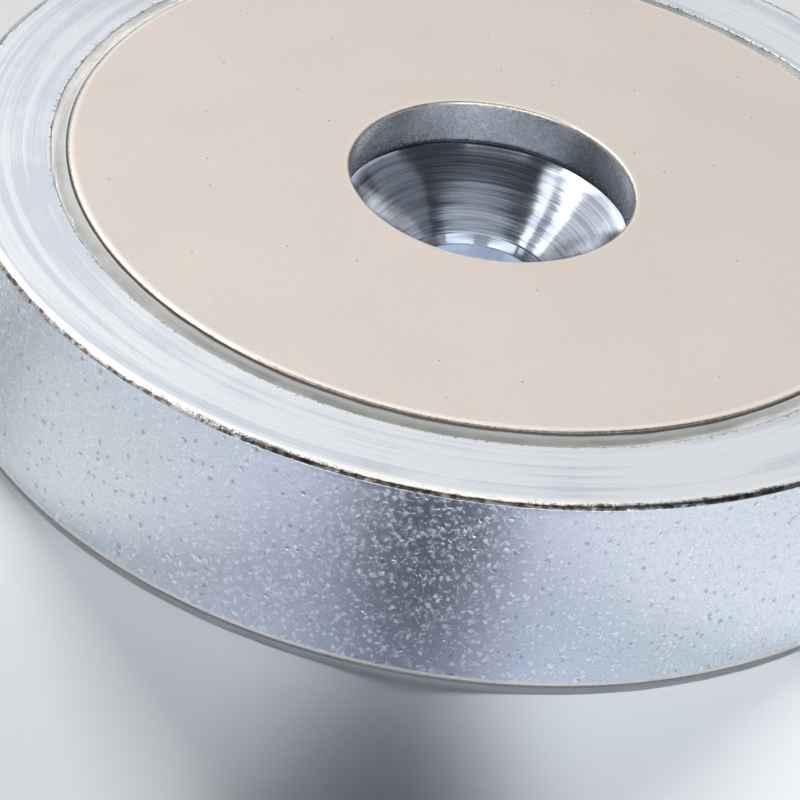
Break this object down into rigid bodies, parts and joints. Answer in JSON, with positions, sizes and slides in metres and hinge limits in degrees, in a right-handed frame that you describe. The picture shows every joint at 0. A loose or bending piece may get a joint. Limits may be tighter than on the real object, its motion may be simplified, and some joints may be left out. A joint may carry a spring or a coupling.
{
  "type": "pot magnet",
  "caption": "Flat round pot magnet: a plated steel pot holds a ring magnet in cast resin, with a countersunk hole through the middle for fixing by a flat-head screw.",
  "frame": {"origin": "centre of the pot's flat base, on the axis of the screw hole", "axes": "+Z along the screw hole's axis, out of the magnetic face; X and Y in the plane of the base, free to turn about the axis"},
  "size_m": [0.04, 0.04, 0.0085],
  "materials": {
    "plated_steel": "bright bluish zinc plating over turned steel, finely pitted on the outer wall",
    "ground_magnet": "satin, finely ground champagne-coloured coating",
    "grey_resin": "smooth glossy cast resin"
  },
  "bodies": {
    "root": {"steel_pot": "plated_steel", "ring_magnet": "ground_magnet", "potting_resin": "grey_resin"}
  },
  "joints": []
}
